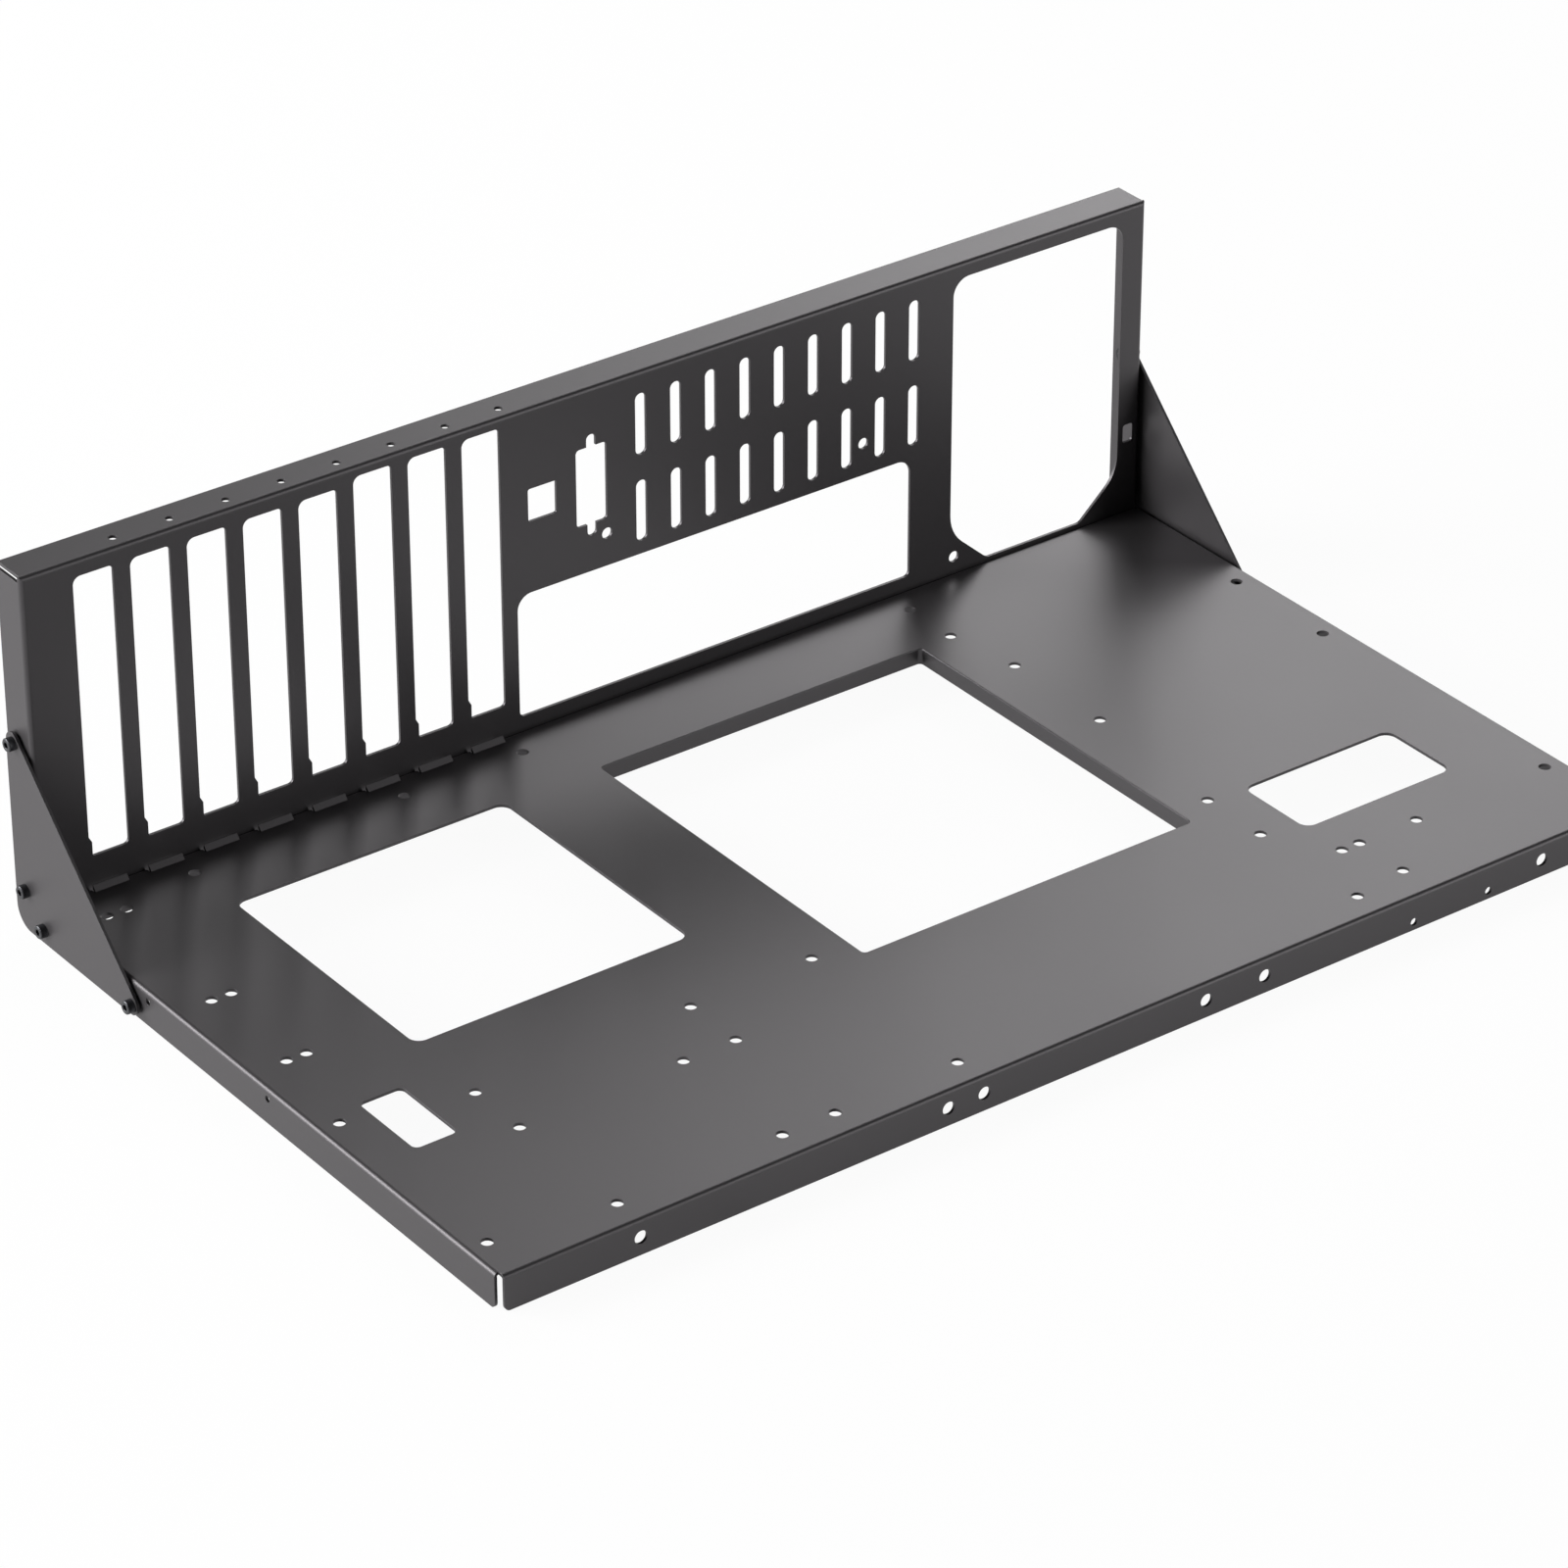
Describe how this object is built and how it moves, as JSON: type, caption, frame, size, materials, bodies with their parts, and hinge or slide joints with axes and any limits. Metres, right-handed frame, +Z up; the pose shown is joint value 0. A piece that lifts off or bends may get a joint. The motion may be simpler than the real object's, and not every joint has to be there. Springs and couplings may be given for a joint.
{
  "type": "sheet metal chassis",
  "caption": "Folded sheet steel computer chassis: a flat tray with cable openings and standoff holes, and an upright rear panel with card slots, vents and port openings.",
  "frame": {"origin": "centre of the footprint, on the surface that the tray's flanges stand on", "axes": "+X to the right along the rear panel, +Y from the tray towards the rear panel, +Z up"},
  "size_m": [0.4466, 0.2636, 0.128],
  "materials": {
    "powder_coat": "satin black powder coat",
    "screw_steel": "black oxide",
    "nut_steel": "black zinc plate"
  },
  "bodies": {
    "root": {"base_tray": "powder_coat", "rear_panel": "powder_coat", "gusset_left": "powder_coat", "gusset_right": "powder_coat", "screw_left_top": "screw_steel", "clinch_nut_left_top": "nut_steel", "screw_left_heel": "screw_steel", "clinch_nut_left_heel": "nut_steel", "screw_left_foot": "screw_steel", "clinch_nut_left_foot": "nut_steel", "screw_left_toe": "screw_steel", "clinch_nut_left_toe": "nut_steel", "screw_right_top": "screw_steel", "clinch_nut_right_top": "nut_steel", "screw_right_heel": "screw_steel", "clinch_nut_right_heel": "nut_steel", "screw_right_foot": "screw_steel", "clinch_nut_right_foot": "nut_steel", "screw_right_toe": "screw_steel", "clinch_nut_right_toe": "nut_steel"}
  },
  "joints": []
}
